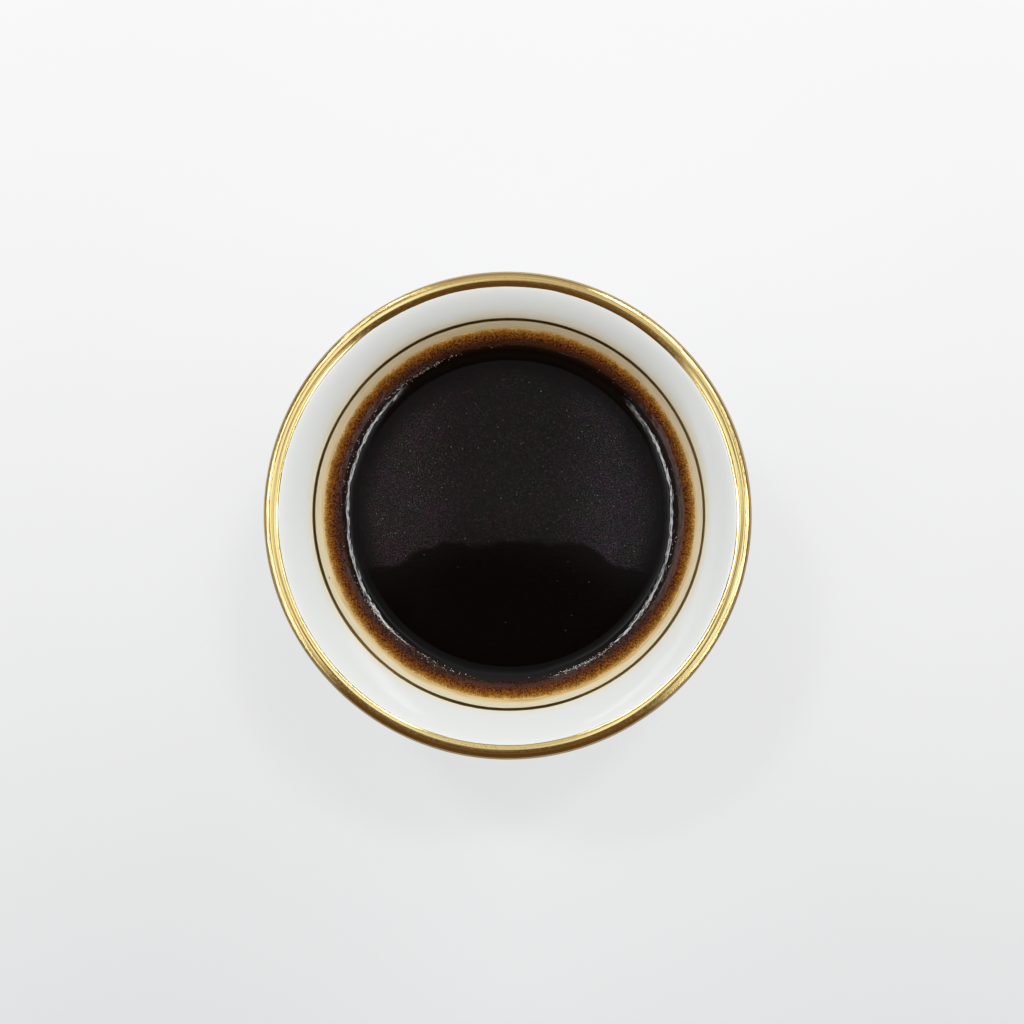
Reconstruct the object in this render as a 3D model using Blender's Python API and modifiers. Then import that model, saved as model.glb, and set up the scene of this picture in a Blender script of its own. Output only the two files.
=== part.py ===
"""A small handleless porcelain cup of Turkish coffee, gilt at the lip.

The cup is one turned porcelain solid on a foot ring. Its lip wears a gilt skin, the coffee fills it
to some way under the lip, and an uneven ring of fine foam lies where the coffee meets the wall.
The origin is the centre of the foot's flat face, and +Z points up through the mouth.
"""

import math
import random

import bmesh
import bpy

MM = 0.001

# The cup
RIM_RADIUS = 33.0 * MM
HEIGHT = 50.0 * MM
LIP_THICKNESS = 2.0 * MM
FLOOR_THICKNESS = 3.2 * MM
FLOOR_LEVEL = 5.2 * MM
FLOOR_HANDLE = 27.5 * MM
LIP_HANDLE = 20.0 * MM
LIP_FLARE = math.radians(49)
FOOT_RADIUS = 15.6 * MM
FOOT_RING_WIDTH = 2.8 * MM
FOOT_EDGE = 0.5 * MM
FOOT_NECK_RADIUS = 14.9 * MM
FOOT_NECK_LEVEL = 2.8 * MM
FOOT_BLEND = 1.6 * MM
RECESS_LEVEL = 1.9 * MM

# The gilding, which lies in a shallow step of the lip
GILT_THICKNESS = 0.35 * MM
GILT_INSIDE = 0.25 * MM
GILT_OUTSIDE = 1.4 * MM

# The drink: flat in the middle, turned up near the wall, with the foam on a ledge round it
COFFEE_LEVEL = 38.4 * MM
FLAT_RADIUS = 21.3 * MM
MENISCUS_RISE = 0.45 * MM
FOAM_INNER_RADIUS = 23.4 * MM
FOAM_CONTACT_LEVEL = 39.6 * MM
FOAM_DEPTH = 0.9 * MM
FOAM_SWELL = 0.12 * MM

# The foam's inner edge wanders in waves, (how many round the cup, phase, size), and bulges inwards
# at two clusters of bubbles, (angle, half width, size).
FOAM_WAVES = ((3, 0.9, 0.09 * MM), (5, 2.4, 0.06 * MM), (8, 4.1, 0.05 * MM), (13, 0.3, 0.04 * MM))
FOAM_BULGES = (
    (math.radians(236), math.radians(13), 0.55 * MM),
    (math.radians(122), math.radians(11), 0.25 * MM),
)
BUBBLE_RADII = (0.22 * MM, 0.38 * MM)
CLUSTER_BUBBLES = 12
LONE_BUBBLES = 22

# Neighbouring solids keep this far apart.
GAP = 0.3 * MM

# Facets: turns round the axis, and points along each stretch of a section
TURNS = 72
WALL_POINTS = 13
LIP_POINTS = 6
NECK_POINTS = 5
CORNER_POINTS = 3
MENISCUS_POINTS = 4
FOAM_POINTS = 5

# The wall's inner face is one cubic curve from the middle of the floor to the inner edge of the lip.
LIP_RADIUS = LIP_THICKNESS / 2
LIP_CENTRE = (RIM_RADIUS - LIP_RADIUS, HEIGHT - LIP_RADIUS)
INNER_EDGE = (
    LIP_CENTRE[0] - LIP_RADIUS * math.sin(LIP_FLARE),
    LIP_CENTRE[1] + LIP_RADIUS * math.cos(LIP_FLARE),
)
WALL_HANDLES = (
    (0.0, FLOOR_LEVEL),
    (FLOOR_HANDLE, FLOOR_LEVEL),
    (
        INNER_EDGE[0] - LIP_HANDLE * math.cos(LIP_FLARE),
        INNER_EDGE[1] - LIP_HANDLE * math.sin(LIP_FLARE),
    ),
    INNER_EDGE,
)


def run(first, last, count):
    """Evenly spaced values from first to last, both included."""
    return [first + (last - first) * i / (count - 1) for i in range(count)]


def arc(centre, radius, start, end, count):
    """Points (r, z) along an arc from one angle to another, in degrees."""
    angles = [math.radians(a) for a in run(start, end, count)]
    return [(centre[0] + radius * math.cos(a), centre[1] + radius * math.sin(a)) for a in angles]


def cubic(handles, t):
    """The point (r, z) of a cubic Bezier curve at t, and its direction there."""
    a, b, c, d = handles
    s = 1 - t
    point = [s**3 * a[i] + 3 * s * s * t * b[i] + 3 * s * t * t * c[i] + t**3 * d[i] for i in (0, 1)]
    slope = [s * s * (b[i] - a[i]) + 2 * s * t * (c[i] - b[i]) + t * t * (d[i] - c[i]) for i in (0, 1)]
    length = math.hypot(*slope)
    return point, (slope[0] / length, slope[1] / length)


def wall(t, depth=0.0):
    """A point of the wall's inner face at t, taken depth into the porcelain, or out of it if negative."""
    (r, z), (along_r, along_z) = cubic(WALL_HANDLES, t)
    return r + depth * along_z, z - depth * along_r


def outer_wall(t, depth=0.0):
    """A point of the wall's outer face, taken depth inwards. The wall thins evenly up to the lip."""
    return wall(t, FLOOR_THICKNESS + (LIP_THICKNESS - FLOOR_THICKNESS) * t - depth)


def solve(value_at, wanted):
    """The t from 0 to 1 at which value_at, which rises with t, reaches the wanted value."""
    low, high = 0.0, 1.0
    for _ in range(40):
        middle = (low + high) / 2
        if value_at(middle) < wanted:
            low = middle
        else:
            high = middle
    return (low + high) / 2


def wall_at_level(level, depth=0.0):
    return solve(lambda t: wall(t, depth)[1], level)


# Where the gilding ends on the wall, inside and outside
GILT_INNER_T = wall_at_level(INNER_EDGE[1] - GILT_INSIDE)
GILT_OUTER_T = solve(lambda t: outer_wall(t)[1], outer_wall(1.0)[1] - GILT_OUTSIDE)
WALL_STEPS = run(0.0, GILT_INNER_T, WALL_POINTS)


def lip_arc(depth):
    """The rounded lip from its inner to its outer tangent point, at a depth below its surface."""
    flare = math.degrees(LIP_FLARE)
    return arc(LIP_CENTRE, LIP_RADIUS - depth, 90 + flare, flare - 90, LIP_POINTS)


def turned_object(name, section, closed, material, collection):
    """A solid turned about the Z axis from a section of (r, z) points, which runs down its outer side."""
    mesh = bpy.data.meshes.new(name)
    count = len(section)
    edges = [(i, (i + 1) % count) for i in range(count if closed else count - 1)]
    mesh.from_pydata([(r, 0.0, z) for r, z in section], edges, [])
    mesh.materials.append(material)
    obj = bpy.data.objects.new(name, mesh)
    collection.objects.link(obj)
    screw = obj.modifiers.new("Turn", "SCREW")
    screw.axis = "Z"
    screw.angle = math.tau
    screw.steps = TURNS
    screw.render_steps = TURNS
    screw.use_merge_vertices = True
    screw.merge_threshold = 0.00001
    screw.use_smooth_shade = True
    return obj


def apply_modifiers(obj):
    """Gives an object the mesh that its modifiers make."""
    bpy.context.view_layer.update()
    graph = bpy.context.evaluated_depsgraph_get()
    mesh = bpy.data.meshes.new_from_object(obj.evaluated_get(graph))
    obj.modifiers.clear()
    obj.data = mesh


def shift_outwards(mesh, shift_at):
    """Moves each vertex away from the axis by shift_at(radius, angle, level)."""
    for vertex in mesh.vertices:
        radius = math.hypot(vertex.co.x, vertex.co.y)
        if radius > GAP:
            angle = math.atan2(vertex.co.y, vertex.co.x)
            scale = 1 + shift_at(radius, angle, vertex.co.z) / radius
            vertex.co.x *= scale
            vertex.co.y *= scale


def foot_section():
    """From the outer wall's foot down the neck, under the ring and across the recess to the axis."""
    joint = solve(lambda t: outer_wall(t)[0], FOOT_RADIUS + FOOT_BLEND)
    top = outer_wall(joint)
    _, along = cubic(WALL_HANDLES, joint)
    neck = (
        top,
        (top[0] - FOOT_BLEND * along[0], top[1] - FOOT_BLEND * along[1]),
        (FOOT_NECK_RADIUS, FOOT_NECK_LEVEL + FOOT_BLEND),
        (FOOT_NECK_RADIUS, FOOT_NECK_LEVEL),
    )
    ring_inner = FOOT_RADIUS - FOOT_RING_WIDTH
    section = [tuple(cubic(neck, t)[0]) for t in run(0.0, 1.0, NECK_POINTS)[1:]]
    section += arc((FOOT_RADIUS - FOOT_EDGE, FOOT_EDGE), FOOT_EDGE, 0, -90, CORNER_POINTS)
    section += arc((ring_inner + FOOT_EDGE, FOOT_EDGE), FOOT_EDGE, 270, 180, CORNER_POINTS)
    section += arc((ring_inner - FOOT_EDGE, RECESS_LEVEL - FOOT_EDGE), FOOT_EDGE, 0, 90, CORNER_POINTS)
    section.append((0.0, RECESS_LEVEL))
    return joint, section


def make_cup(material, collection):
    """The porcelain: floor, bell-shaped wall, the lip's core under the gilding, and the foot ring."""
    under_gilt = GILT_THICKNESS + GAP
    joint, foot = foot_section()
    section = [wall(t) for t in WALL_STEPS]
    section.append(wall(GILT_INNER_T, under_gilt))
    section += lip_arc(under_gilt)
    section.append(outer_wall(GILT_OUTER_T, under_gilt))
    section += [outer_wall(t) for t in run(GILT_OUTER_T, joint, WALL_POINTS - 2)]
    section += foot
    return turned_object("cup", section, False, material, collection)


def make_gilt_rim(material, collection):
    """The gilding: a skin from just inside the lip, over it and a little way down the outside."""
    end = solve(lambda t: outer_wall(t)[1], outer_wall(GILT_OUTER_T)[1] + GAP)
    section = lip_arc(0.0)
    section.append(outer_wall(end))
    section.append(outer_wall(end, GILT_THICKNESS))
    section += reversed(lip_arc(GILT_THICKNESS))
    return turned_object("gilt_rim", section, True, material, collection)


def foam_wander(angle):
    """How far outwards the foam's inner edge lies from its mean radius, at an angle round the cup."""
    shift = sum(size * math.sin(count * angle + phase) for count, phase, size in FOAM_WAVES)
    for middle, half_width, size in FOAM_BULGES:
        away = math.remainder(angle - middle, math.tau) / half_width
        shift -= size * math.exp(-away * away)
    return shift


def make_coffee(material, collection):
    """The drink up to the level shown, with a ledge under the foam and a gap to the wall."""
    edge = FOAM_INNER_RADIUS - GAP
    ledge = COFFEE_LEVEL - FOAM_DEPTH - GAP
    shares = run(0.0, 1.0, MENISCUS_POINTS)
    section = [(0.0, COFFEE_LEVEL)]
    section += [(FLAT_RADIUS + (edge - FLAT_RADIUS) * s, COFFEE_LEVEL + MENISCUS_RISE * s * s) for s in shares]
    section.append((edge, ledge))
    section.append(wall(wall_at_level(ledge, -GAP), -GAP))
    section += [wall(t, -GAP) for t in reversed(WALL_STEPS) if wall(t, -GAP)[1] < ledge - GAP]
    coffee = turned_object("coffee", section, False, material, collection)
    apply_modifiers(coffee)

    def follow_foam(radius, angle, level):
        if level < ledge - GAP / 2 or radius > edge + GAP / 2:
            return 0.0
        return foam_wander(angle) * max(0.0, (radius - FLAT_RADIUS) / (edge - FLAT_RADIUS))

    shift_outwards(coffee.data, follow_foam)
    return coffee


def foam_top(share):
    """The foam's level, at a share of the way from its inner edge to the wall."""
    crest = COFFEE_LEVEL + MENISCUS_RISE
    return crest + (FOAM_CONTACT_LEVEL - crest) * share + FOAM_SWELL * math.sin(math.pi * share)


def make_foam(material, collection):
    """The foam: an uneven ring on the coffee's ledge, with the larger bubbles fused on as relief."""
    inner = FOAM_INNER_RADIUS
    bottom = COFFEE_LEVEL - FOAM_DEPTH
    contact = wall(wall_at_level(FOAM_CONTACT_LEVEL, -GAP), -GAP)
    width = contact[0] - inner
    section = [(inner, bottom), (inner, foam_top(0.0) - FOAM_SWELL)]
    section += [(inner + share * width, foam_top(share)) for share in run(0.1, 1.0, FOAM_POINTS)]
    section += [wall(wall_at_level(level, -GAP), -GAP) for level in (COFFEE_LEVEL, bottom)]
    foam = turned_object("foam_ring", section, True, material, collection)
    apply_modifiers(foam)

    def wander_inside(radius, angle, _):
        # The wander fades to nothing at the wall, where the foam keeps to the porcelain.
        return foam_wander(angle) * max(0.0, 1 - (radius - inner) / (0.7 * width))

    shift_outwards(foam.data, wander_inside)
    fuse_bubbles(foam, bubble_places(inner, width))
    return foam


def bubble_places(inner, width):
    """The larger bubbles as (angle, radius from the axis, level, size): two clusters, the rest spread."""
    draw = random.Random(7)
    angles = [math.tau * (i + draw.uniform(0.2, 0.8)) / LONE_BUBBLES for i in range(LONE_BUBBLES)]
    for middle, half_width, _ in FOAM_BULGES:
        spread = run(-half_width, half_width, CLUSTER_BUBBLES)
        angles += [middle + offset * draw.uniform(0.85, 1.15) for offset in spread]
    places = []
    for angle in angles:
        size = draw.uniform(*BUBBLE_RADII)
        share = draw.uniform(0.15, 0.7)
        radius = inner + share * width + foam_wander(angle) * (1 - share)
        places.append((angle, radius, foam_top(share) - size * 0.3, size))
    return places


def fuse_bubbles(foam, places):
    """Joins a ball for each larger bubble to the foam, so that its top stands out as a dome."""
    bubbles = bpy.data.collections.new("bubbles")
    bpy.context.scene.collection.children.link(bubbles)
    for number, (angle, radius, level, size) in enumerate(places):
        mesh = bpy.data.meshes.new(f"bubble_{number}")
        shape = bmesh.new()
        bmesh.ops.create_uvsphere(shape, u_segments=6, v_segments=5, radius=size)
        shape.to_mesh(mesh)
        shape.free()
        bubble = bpy.data.objects.new(f"bubble_{number}", mesh)
        bubble.location = (radius * math.cos(angle), radius * math.sin(angle), level)
        bubble.rotation_euler = (0.3 * math.sin(number), 0.3 * math.cos(number), angle)
        bubbles.objects.link(bubble)
    union = foam.modifiers.new("Fuse", "BOOLEAN")
    union.operation = "UNION"
    union.operand_type = "COLLECTION"
    union.collection = bubbles
    union.solver = "EXACT"
    apply_modifiers(foam)
    for bubble in list(bubbles.objects):
        bpy.data.objects.remove(bubble)
    bpy.data.collections.remove(bubbles)


def finish_material(name, colour, roughness, metallic=0.0):
    material = bpy.data.materials.new(name)
    material.use_nodes = True
    shader = material.node_tree.nodes["Principled BSDF"]
    shader.inputs["Base Color"].default_value = (*colour, 1.0)
    shader.inputs["Roughness"].default_value = roughness
    shader.inputs["Metallic"].default_value = metallic
    material.diffuse_color = (*colour, 1.0)
    return material


def main():
    for obj in list(bpy.data.objects):
        bpy.data.objects.remove(obj)
    collection = bpy.data.collections.new("turkish_coffee")
    bpy.context.scene.collection.children.link(collection)
    make_cup(finish_material("porcelain", (0.80, 0.81, 0.80), 0.12), collection)
    make_gilt_rim(finish_material("gold", (0.80, 0.56, 0.20), 0.28, 1.0), collection)
    make_coffee(finish_material("coffee", (0.012, 0.006, 0.004), 0.06), collection)
    make_foam(finish_material("foam", (0.20, 0.08, 0.02), 0.45), collection)


main()
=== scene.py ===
import math
import random

import bpy
import numpy as np
from mathutils import Matrix, Vector

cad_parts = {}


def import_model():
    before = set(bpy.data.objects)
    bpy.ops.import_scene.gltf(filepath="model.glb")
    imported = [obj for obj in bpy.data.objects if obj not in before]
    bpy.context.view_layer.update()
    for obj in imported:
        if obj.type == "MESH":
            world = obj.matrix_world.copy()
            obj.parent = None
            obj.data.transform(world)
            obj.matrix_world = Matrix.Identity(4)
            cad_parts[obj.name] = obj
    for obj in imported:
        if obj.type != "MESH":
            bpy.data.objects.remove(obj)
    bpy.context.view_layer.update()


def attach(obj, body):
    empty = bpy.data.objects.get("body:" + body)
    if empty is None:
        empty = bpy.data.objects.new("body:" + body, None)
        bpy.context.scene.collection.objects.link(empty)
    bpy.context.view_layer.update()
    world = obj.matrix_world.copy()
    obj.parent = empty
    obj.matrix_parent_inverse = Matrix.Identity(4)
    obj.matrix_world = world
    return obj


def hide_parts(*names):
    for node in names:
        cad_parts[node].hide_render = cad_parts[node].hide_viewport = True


# A handleless porcelain cup of Turkish coffee with a gilt lip, seen from above.
# Lengths are in millimetres until a mesh is made, and heights are from the table.
MM = 0.001
BODY = "root"

# The cup's section, as in the part's source
RIM_RADIUS = 33.0
HEIGHT = 50.0
LIP_THICKNESS = 2.0
FLOOR_THICKNESS = 3.2
FLOOR_LEVEL = 5.2
FLOOR_HANDLE = 27.5
LIP_HANDLE = 20.0
LIP_FLARE = math.radians(49)
FOOT_RADIUS = 15.6
FOOT_RING_WIDTH = 2.8
FOOT_EDGE = 0.5
FOOT_NECK_RADIUS = 14.9
FOOT_NECK_LEVEL = 2.8
FOOT_BLEND = 1.6
RECESS_LEVEL = 1.9
RECESS_RADII = (8.0, 3.0, 0.0)

# The lip's highest circle lies nearer its inner side, and the wall leans out a little more below it
CREST_RADIUS = 31.73
CREST_CURVE = 1.35
CREST_FLARE = 40.0
CREST_HANDLE = 0.9
BLEND_LEVEL = 44.0
BLEND_HANDLE = 2.6

# The gilding: a film over the lip, and a thin line on the wall inside
GILT_FILM = 0.03
GILT_OUTSIDE = 1.4
GILT_TURNS = 720
LINE_LEVEL = 42.5
LINE_WIDTH = 0.90
LINE_FILM = 0.015
# The share of a band's width over which its film thins towards each edge
GILT_EDGE_SHARE = 0.06
# The waves of both edges of the lip's band: their size in steps round the cup, and their reach
LIP_WOBBLE = ((9, 0.035), (14, 0.10))
# The same for the line, with the reach as a share of its width
LINE_WOBBLE = ((14, 0.025), (17, 0.025))

# The drink: flat in the middle, turned up near the wall
COFFEE_LEVEL = 38.4
COFFEE_CONTACT = 25.95
COFFEE_TURNS = 960
# Its surface, as slopes in degrees by distance from the axis
SURFACE_SLOPES = (
    (0.0, 0.0),
    (18.5, 0.0),
    (21.25, 0.6),
    (21.40, 2.4),
    (21.80, 4.3),
    (22.10, 6.5),
    (22.26, 7.8),
    (22.36, 28.2),
    (22.72, 30.3),
    (23.22, 33.6),
    (23.32, 38.0),
    (23.54, 42.0),
    (23.56, 12.0),
    (23.66, 8.5),
    (24.25, 8.5),
    (24.60, 5.0),
    (25.90, 8.0),
)
# Its waves round the cup: how many, their phase and their reach outwards
EDGE_WAVES = ((3, 0.9, 0.09), (5, 2.4, 0.06), (8, 4.1, 0.05), (13, 0.3, 0.04))

# The foam against the wall, from under a thin skin of coffee
FOAM_INNER_RADIUS = 23.35
FOAM_OUTER_RADIUS = 25.80
FOAM_SURFACING_RADIUS = 24.12
FOAM_DEPTH = 0.25
FOAM_TURNS = 1800
FOAM_ROWS = 26
# Where it bulges inwards: the middle and half width as angles, and the reach
FOAM_BULGES = (
    (math.radians(236), math.radians(13), 0.22),
    (math.radians(122), math.radians(11), 0.25),
)

# Bubbles and specks
BUBBLE_RADIUS = 23.55
BUBBLES_PER_BULGE = 110
FINE_BUBBLE_RADIUS = 23.45
FINE_BUBBLES = 400
GLINT_RADIUS = 23.24
# Where small bubbles painted pale as glints lie: the middle and spread in degrees, and how many
GLINT_ARCS = ((230, 11, 260), (124, 7, 90), (50, 8, 60), (298, 7, 110), (150, 25, 70), (335, 20, 70))
SPECKS = 160
SPECK_REACH = 18.8
# Dried specks on the wall: their mean height and its spread, their least and greatest size, and how many
RESIDUE_BANDS = ((41.6, 0.35, 0.04, 0.09, 70), (43.2, 0.4, 0.03, 0.06, 26))
LARGEST_RESIDUE = (math.radians(199.5), 41.3, 0.20)

# Seeds of the random reliefs and draws
LIP_SEED = 11
LINE_SEED = 21
FOAM_SEED = 31
DRINK_SEED = 41
BUBBLE_SEED = 5
SPECK_SEED = 8
RESIDUE_SEED = 12

# The camera, over the cup and a little towards the far right
CAMERA_PLACE = Vector((11.2, 11.2, 400.0))
CAMERA_AIM = Vector((0.70, 0.61, HEIGHT))
FRAME_WIDTH = 137.9
SENSOR_WIDTH = 36.0
# The nearest that it sees, in metres
NEAREST_SEEN = 0.01

# Colours are linear, and stops are pairs of a place and a colour
BLACK = (0.0, 0.0, 0.0)
PORCELAIN_COLOUR = (0.665, 0.688, 0.672)
BARE_CLAY_COLOUR = (0.70, 0.66, 0.60)
BARE_LEVELS = (0.25, 0.45)
# The film that the coffee left on the wall, by height
FILM_STOPS = (
    (39.3, (0.43, 0.28, 0.105)),
    (39.7, (0.55, 0.40, 0.185)),
    (40.1, (0.625, 0.490, 0.280)),
    (40.7, (0.675, 0.570, 0.375)),
    (42.0, (0.635, 0.555, 0.390)),
    (43.3, (0.675, 0.640, 0.520)),
    (44.8, PORCELAIN_COLOUR),
)
# The heights where it starts, where its foot ends and where it grows uneven, and the side where it is
# darker higher up
FILM_START_LEVELS = (36.0, 36.1)
FILM_FOOT_LEVELS = (40.4, 41.4)
FILM_SPREAD_LEVELS = (40.4, 42.2)
FILM_DARKER_SIDE = math.radians(100)
# The wall's middle is found at these heights, this far into the porcelain, as shares of a scale
MIDDLE_LEVELS = (36.0, 48.0)
MIDDLE_DEPTH = 1.15
MIDDLE_SCALE = 40.0

GOLD_COLOURS = ((0.95, 0.73, 0.31), (0.70, 0.49, 0.19))
GOLD_SPECK_COLOUR = (0.50, 0.30, 0.11)
# A darker brown painted over the gold's lower outer edge, and where it lies: a painted reflection of the
# shade there
DARK_REFLECTION_GOLD_COLOUR = (0.36, 0.25, 0.11)
DARK_REFLECTION_RADII = (32.5, 32.72)
DARK_REFLECTION_LEVELS = (50.0, 49.8)
LINE_COLOUR = (0.31, 0.205, 0.055)
LINE_TOP_LEVELS = (44.0, 43.9)

# The coffee by its distance from the axis
COFFEE_STOPS = (
    (22.8, (0.0010, 0.0006, 0.0005)),
    (23.25, (0.0050, 0.0019, 0.0010)),
    (23.6, (0.017, 0.0062, 0.0034)),
    (24.1, (0.040, 0.0120, 0.0045)),
)
# The film of oil on the drink, whose colour is also a painted reflection of the lit room: its two
# shades, and how they are tinted from left to right
OIL_AND_SHEEN_COLOURS = ((0.0086, 0.0056, 0.0070), (0.0062, 0.0064, 0.0054))
OIL_AND_SHEEN_TINTS = (
    (-16.0, (1.05, 0.95, 1.02)),
    (-7.0, (1.10, 0.86, 0.98)),
    (2.0, (0.95, 1.02, 0.90)),
    (14.0, (0.98, 1.0, 1.15)),
)
# Where the oil and its painted reflection thin: outwards, at the drink's turned-up edge, and at the near
# edge of its patch
OIL_AND_SHEEN_THINS_RADII = (17.5, 21.6)
OIL_AND_SHEEN_ENDS_RADII = (22.3, 22.8)
OIL_AND_SHEEN_NEAR_EDGE = (-4.3, -3.5)

# The foam by its distance from the axis
FOAM_STOPS = (
    (23.7, (0.018, 0.0055, 0.0022)),
    (24.1, (0.037, 0.0110, 0.0035)),
    (24.5, (0.062, 0.0155, 0.0018)),
    (24.9, (0.099, 0.0310, 0.0020)),
    (25.15, (0.131, 0.0475, 0.0036)),
    (25.4, (0.184, 0.0815, 0.0110)),
    (25.6, (0.272, 0.1510, 0.0410)),
    (25.8, (0.420, 0.2850, 0.1160)),
)
# Clear bubbles: the dark skin, and the paler brown of a painted highlight round their edge
BUBBLE_AND_RIM_HIGHLIGHT_COLOURS = ((0.022, 0.010, 0.006), (0.30, 0.17, 0.09))
# Small bubbles with a painted glint: whitish in the middle, brown round the edge
GLINT_BUBBLE_COLOURS = ((0.46, 0.40, 0.36), (0.16, 0.09, 0.05))
# The painted highlight colour of the tiny bubbles on the drink
SPECK_HIGHLIGHT_COLOUR = (0.22, 0.19, 0.18)
RESIDUE_COLOURS = ((0.20, 0.09, 0.035), (0.42, 0.24, 0.11))

# The table's size, in metres
TABLE_SIZE = 4.0
# Its colour and the light that it gives, from its near to its far side: the glow is painted light, and
# the duller near side is painted shade
TABLE_REACH = (-95.0, 92.0)
TABLE_NEAR_SHADE_COLOUR = (0.46, 0.47, 0.48)
TABLE_FAR_COLOURS = ((0.54, 0.545, 0.55), (0.56, 0.56, 0.56))
TABLE_LIGHT = ((0.08, 0.082, 0.088), (0.49, 0.49, 0.485))

# The depth of each surface's fine relief
PORCELAIN_RELIEF = 0.04
GOLD_RELIEF = 0.02
COFFEE_RELIEF = 0.0022
FOAM_RELIEF = 0.02

# Ranges that most of a noise's values lie in
NOISE_MIDDLE = (0.35, 0.65)
NOISE_RANGE = (0.3, 0.7)

# The lamps' distance, in metres
LAMP_DISTANCE = 1.3
# Each lamp's azimuth, angle from straight up, brightness, and half width and height as angles
LAMPS = {
    "lamp_right": (57, 21.5, 0.192, 3.0, 3.0),
    "lamp_left": (125, 23.5, 0.186, 3.0, 3.0),
    "lamp_near": (270, 82, 0.55, 32.0, 5.5),
}

# The room's brightness by the angle from straight up, in degrees
SIDE_WALL_STOPS = (
    (4, (0.25, 0.25, 0.255)),
    (6.5, (0.42, 0.42, 0.42)),
    (11, (0.74, 0.74, 0.74)),
    (16, (2.1, 2.1, 2.1)),
    (28, (2.0, 2.0, 2.0)),
    (36, (0.35, 0.35, 0.35)),
    (90, (0.20, 0.20, 0.20)),
)
BACK_WALL_STOPS = (
    (2, (0.30, 0.30, 0.31)),
    (6, (0.42, 0.42, 0.43)),
    (14, (0.80, 0.80, 0.80)),
    (22, (0.72, 0.72, 0.72)),
    (45, (0.74, 0.74, 0.74)),
    (90, (0.30, 0.30, 0.30)),
)
NEAR_SIDE_STOPS = (
    (4, (0.035, 0.022, 0.015)),
    (15, (0.14, 0.085, 0.045)),
    (90, (0.09, 0.052, 0.026)),
)
# The strips of light along the left and the right wall: their angles from straight up, and widths
STRIP_ANGLES = (57.2, 53.7)
STRIP_HALF_WIDTH = 1.15
STRIP_HALF_WIDTH_FAR = 1.3
STRIP_SOFT_EDGE = 0.8
# How far a strip comes down towards its near and its far end, in degrees
STRIP_FALLS = (9.0, 21.0)
# Their glow, and how much stronger it is in the far part of the left and the right one
STRIP_GLOW = 20.5
STRIP_FAR_GAINS = (1.25, 1.7)
# Places along a wall as a share of the distance to it: both near ends, the far part and the far end
STRIP_NEAR_ENDS = (-1.0, -1.3)
STRIP_FAR_PART = (0.3, 1.2)
STRIP_FAR_END = (2.0, 2.8)
# The curved edge of the unlit near side, in the room's direction coordinates
NEAR_EDGE_PLACE = (-0.033, -0.039)
NEAR_EDGE_BENDS = (1.1, 1.45)
NEAR_EDGE_TIP = 0.1

# The film's answer to light: pairs of scene brightness and picture brightness
FILM_CURVE = (
    (0.0, 0.0),
    (0.45, 0.45),
    (0.70, 0.675),
    (0.95, 0.815),
    (1.30, 0.93),
    (2.00, 1.0),
)

LIP_RADIUS = LIP_THICKNESS / 2
LIP_CENTRE = (RIM_RADIUS - LIP_RADIUS, HEIGHT - LIP_RADIUS)
INNER_EDGE = (
    LIP_CENTRE[0] - LIP_RADIUS * math.sin(LIP_FLARE),
    LIP_CENTRE[1] + LIP_RADIUS * math.cos(LIP_FLARE),
)
WALL_HANDLES = np.array([
    (0.0, FLOOR_LEVEL),
    (FLOOR_HANDLE, FLOOR_LEVEL),
    (
        INNER_EDGE[0] - LIP_HANDLE * math.cos(LIP_FLARE),
        INNER_EDGE[1] - LIP_HANDLE * math.sin(LIP_FLARE),
    ),
    INNER_EDGE,
])


# Curves of the section

def cubic(handles, t):
    """Points (r, z) of a cubic Bezier curve at the values t, and the directions there."""
    t = np.atleast_1d(t)[:, None]
    s = 1 - t
    a, b, c, d = np.array(handles, float)
    points = s**3 * a + 3 * s * s * t * b + 3 * s * t * t * c + t**3 * d
    slopes = s * s * (b - a) + 2 * s * t * (c - b) + t * t * (d - c)
    return points, slopes / np.linalg.norm(slopes, axis=1)[:, None]


def wall(t, depth=0.0):
    """Points of the wall's inner face, taken a depth into the porcelain."""
    points, along = cubic(WALL_HANDLES, t)
    depth = np.broadcast_to(depth, len(points))[:, None]
    return points + depth * np.column_stack((along[:, 1], -along[:, 0]))


def outer_wall(t):
    """Points of the wall's outer face, across from those of its inner face."""
    t = np.atleast_1d(t)
    return wall(t, FLOOR_THICKNESS + (LIP_THICKNESS - FLOOR_THICKNESS) * t)


FINE_T = np.linspace(0.0, 1.0, 2001)
FINE_WALL = wall(FINE_T)
FINE_OUTER = outer_wall(FINE_T)


def wall_at_level(level):
    """The wall's t at a height."""
    return np.interp(level, FINE_WALL[:, 1], FINE_T)


def wall_direction(t):
    """The way up along the wall's inner face at t."""
    return cubic(WALL_HANDLES, t)[1][0]


def arc(centre, radius, start, end, count):
    """Points (r, z) along an arc from one angle to another, in degrees."""
    angles = np.radians(np.linspace(start, end, count))
    return np.column_stack((centre[0] + radius * np.cos(angles), centre[1] + radius * np.sin(angles)))


def offset(points, depth):
    """A path moved to its right by a depth, which is into the porcelain on the way out over the lip."""
    along = np.gradient(points, axis=0)
    along /= np.linalg.norm(along, axis=1)[:, None]
    return points + depth * np.column_stack((along[:, 1], -along[:, 0]))


def crest():
    """The rounded lip from the gilding's inner edge out to the outer wall."""
    inside = arc((CREST_RADIUS, HEIGHT - CREST_CURVE), CREST_CURVE, 90 + CREST_FLARE, 90, 24)
    turn = np.radians(np.linspace(90, 0, 36))[1:]
    reach = RIM_RADIUS - CREST_RADIUS
    outside = np.column_stack((
        CREST_RADIUS + reach * np.cos(turn),
        LIP_CENTRE[1] + LIP_RADIUS * np.sin(turn),
    ))
    below = arc(LIP_CENTRE, LIP_RADIUS, 0, math.degrees(LIP_FLARE) - 90, 14)[1:]
    return np.vstack([inside, outside, below])


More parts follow.
